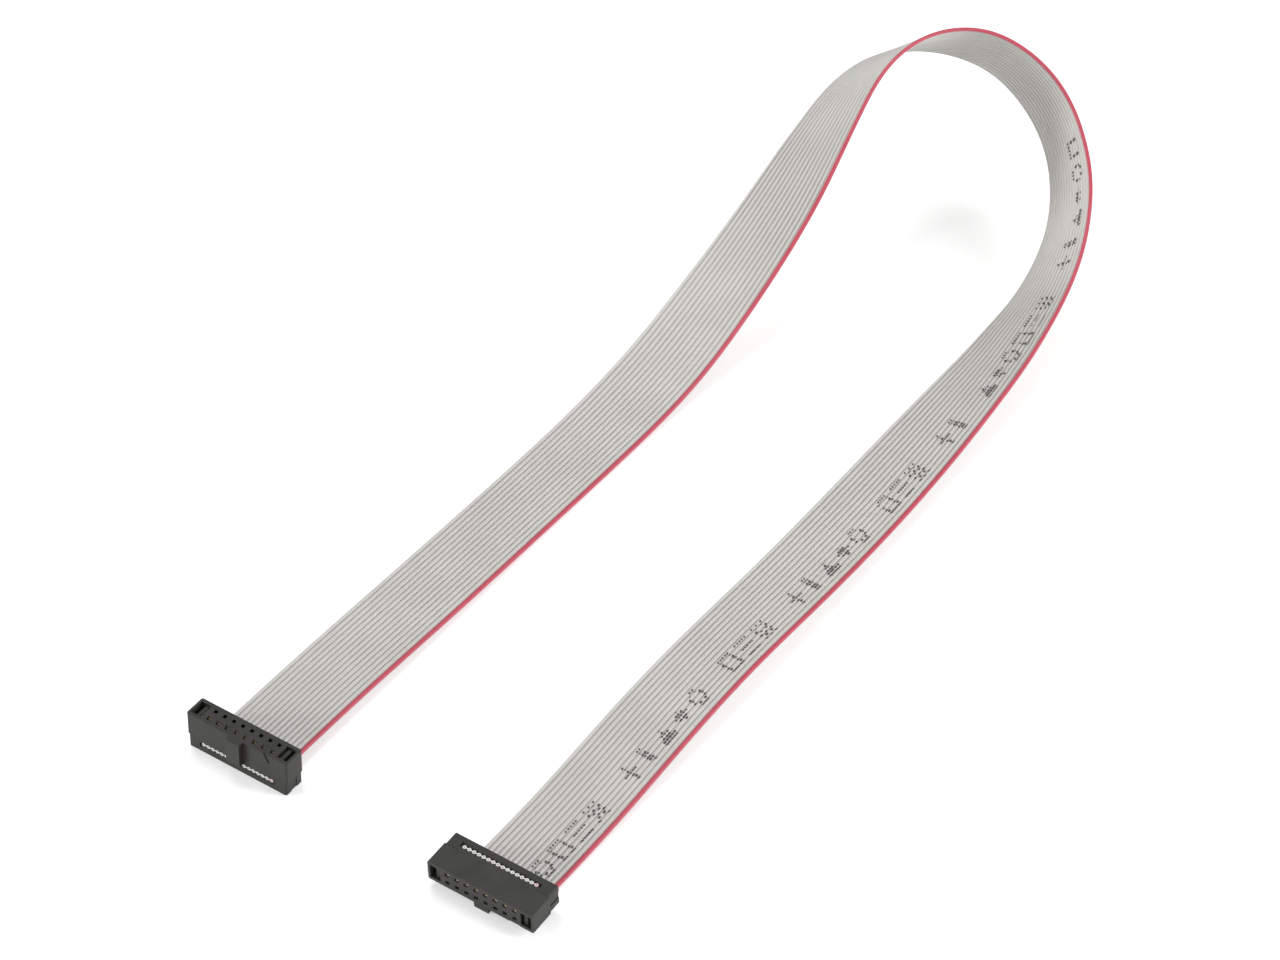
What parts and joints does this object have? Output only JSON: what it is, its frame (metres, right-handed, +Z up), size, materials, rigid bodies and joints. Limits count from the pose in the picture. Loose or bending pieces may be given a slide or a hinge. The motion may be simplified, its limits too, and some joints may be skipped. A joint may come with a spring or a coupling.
{
  "type": "ribbon cable",
  "caption": "Flat ribbon cable laid in a loop, with a keyed pin socket pressed on each end and a red wire along one edge.",
  "frame": {"origin": "centre of the bounding box's base, on the table that the cable lies on", "axes": "+X along the sockets' length, towards the red wire; +Y from the sockets towards the loop; +Z up"},
  "size_m": [0.0965, 0.2875, 0.0518],
  "materials": {
    "socket_plastic": "moulded, slightly rough",
    "ribbon_grey": "smooth, soft sheen",
    "ribbon_red": "smooth, soft sheen",
    "contact_metal": "gold plated",
    "conductor_metal": "tinned copper strands"
  },
  "bodies": {
    "root": {"left_housing": "socket_plastic", "left_cover": "socket_plastic", "right_housing": "socket_plastic", "right_cover": "socket_plastic", "ribbon_insulation": "ribbon_grey", "edge_insulation": "ribbon_red", "conductor_1": "conductor_metal", "conductor_2": "conductor_metal", "conductor_3": "conductor_metal", "conductor_4": "conductor_metal", "conductor_5": "conductor_metal", "conductor_6": "conductor_metal", "conductor_7": "conductor_metal", "conductor_8": "conductor_metal", "conductor_9": "conductor_metal", "conductor_10": "conductor_metal", "conductor_11": "conductor_metal", "conductor_12": "conductor_metal", "conductor_13": "conductor_metal", "conductor_14": "conductor_metal", "conductor_15": "conductor_metal", "conductor_16": "conductor_metal", "left_contact_1": "contact_metal", "left_contact_2": "contact_metal", "left_contact_3": "contact_metal", "left_contact_4": "contact_metal", "left_contact_5": "contact_metal", "left_contact_6": "contact_metal", "left_contact_7": "contact_metal", "left_contact_8": "contact_metal", "left_contact_9": "contact_metal", "left_contact_10": "contact_metal", "left_contact_11": "contact_metal", "left_contact_12": "contact_metal", "left_contact_13": "contact_metal", "left_contact_14": "contact_metal", "left_contact_15": "contact_metal", "left_contact_16": "contact_metal", "right_contact_1": "contact_metal", "right_contact_2": "contact_metal", "right_contact_3": "contact_metal", "right_contact_4": "contact_metal", "right_contact_5": "contact_metal", "right_contact_6": "contact_metal", "right_contact_7": "contact_metal", "right_contact_8": "contact_metal", "right_contact_9": "contact_metal", "right_contact_10": "contact_metal", "right_contact_11": "contact_metal", "right_contact_12": "contact_metal", "right_contact_13": "contact_metal", "right_contact_14": "contact_metal", "right_contact_15": "contact_metal", "right_contact_16": "contact_metal"}
  },
  "joints": []
}
